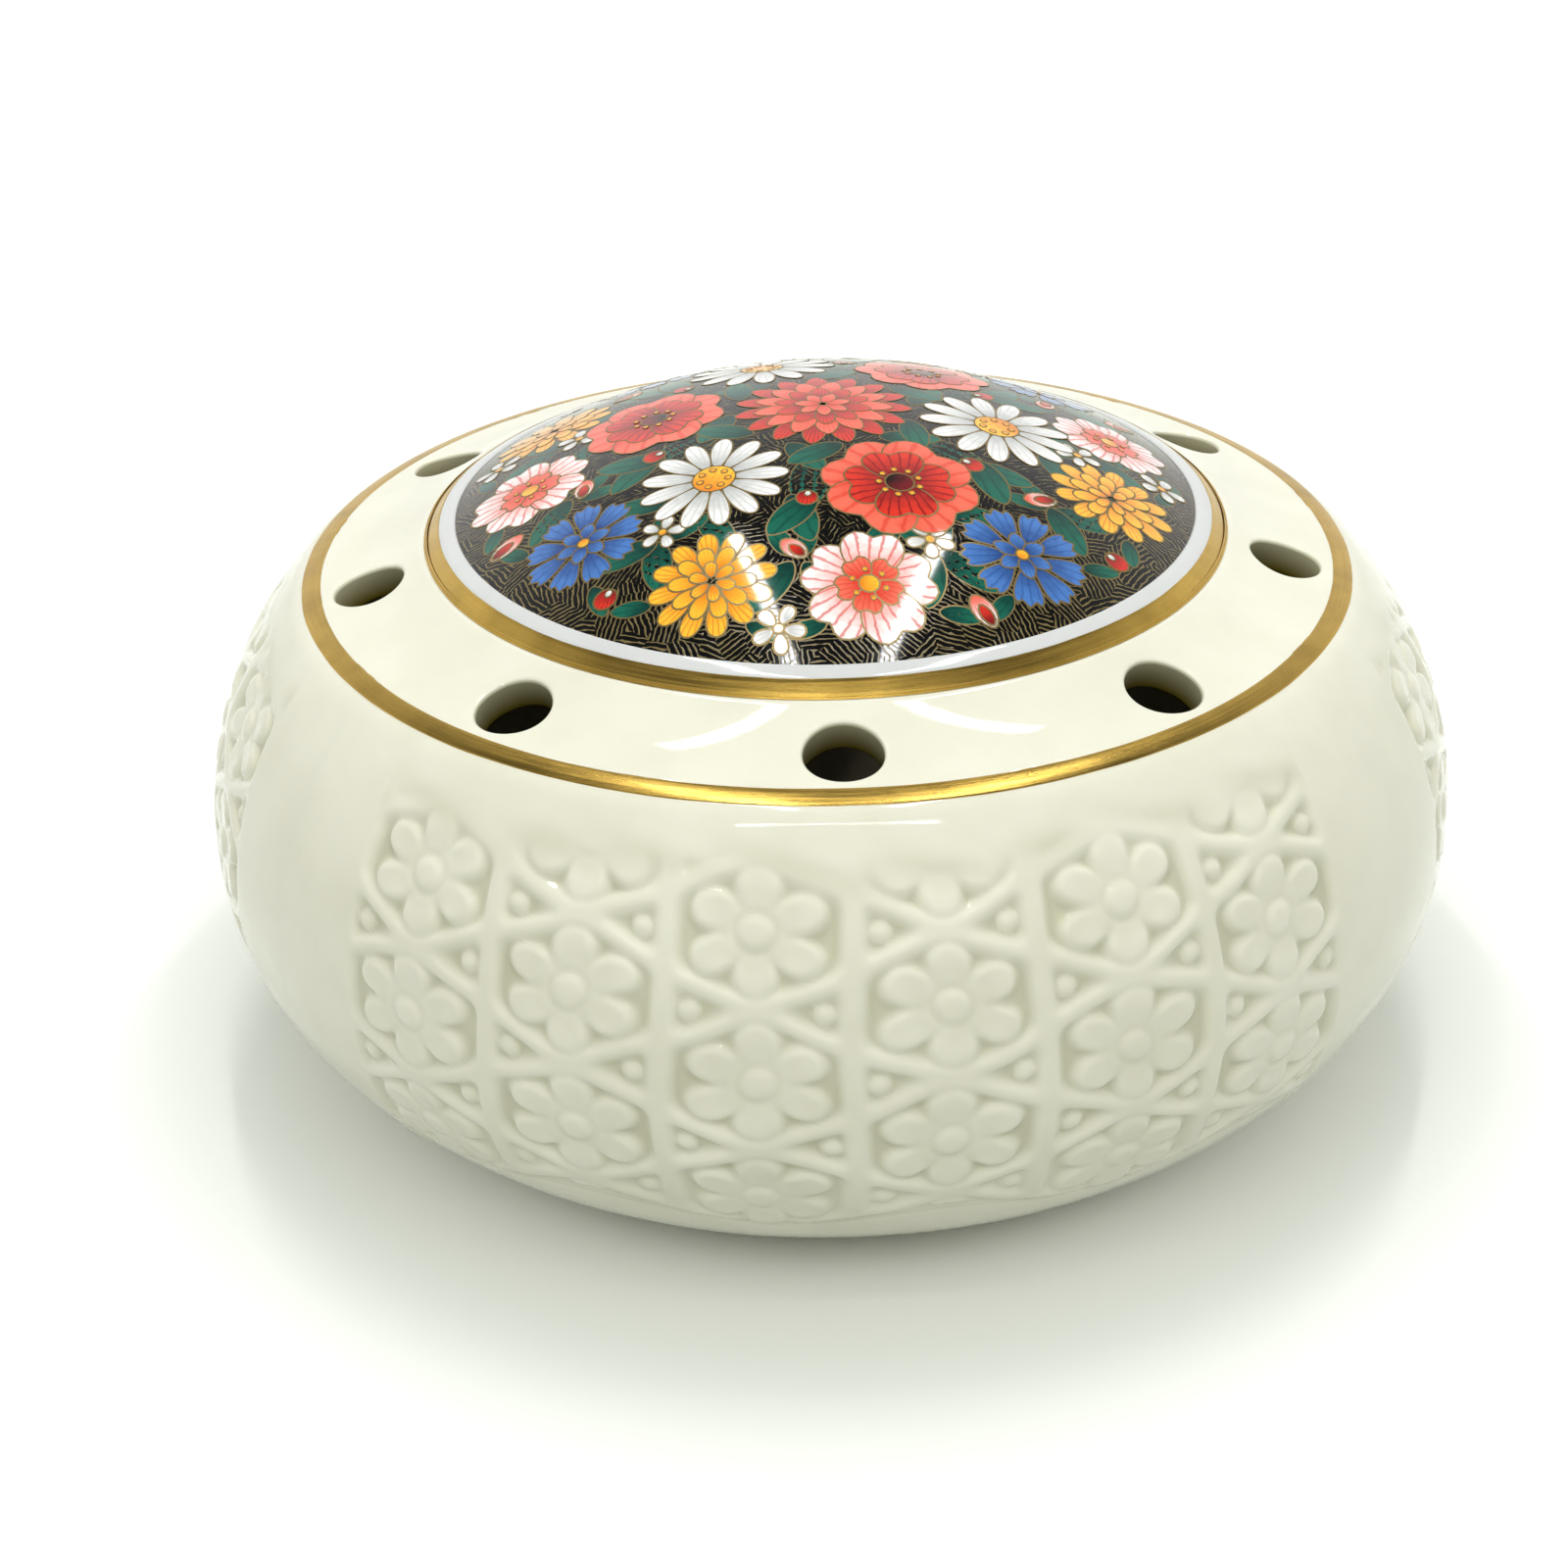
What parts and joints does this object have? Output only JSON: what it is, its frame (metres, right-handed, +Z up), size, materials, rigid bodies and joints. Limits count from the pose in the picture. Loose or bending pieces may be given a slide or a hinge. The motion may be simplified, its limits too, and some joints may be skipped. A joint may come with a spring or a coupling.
{
  "type": "potpourri vase",
  "caption": "Squat round porcelain vase with a pierced shoulder, flowered lattice relief round its side, gilt bands and a domed lid that lifts off.",
  "frame": {"origin": "centre of the foot ring, on the table", "axes": "+Z up along the axis of the vase, -Y towards the front relief panel"},
  "size_m": [0.13, 0.13, 0.0706],
  "materials": {
    "ivory_porcelain": "gloss glaze",
    "white_porcelain": "gloss glaze",
    "gilding": "burnished",
    "printed_enamel": "gloss"
  },
  "bodies": {
    "vase_bowl": {"bowl": "ivory_porcelain", "shoulder": "ivory_porcelain", "relief_panel_front": "ivory_porcelain", "relief_panel_right": "ivory_porcelain", "relief_panel_left": "ivory_porcelain", "shoulder_gilt_band": "gilding"},
    "vase_lid": {"lid": "white_porcelain", "lid_gilt_band": "gilding", "lid_medallion": "printed_enamel"}
  },
  "joints": [
    {"name": "lid_lift", "type": "slide", "parent": "vase_bowl", "child": "vase_lid", "axis": [0, 0, 1], "range_m": [0, 0.06]}
  ]
}
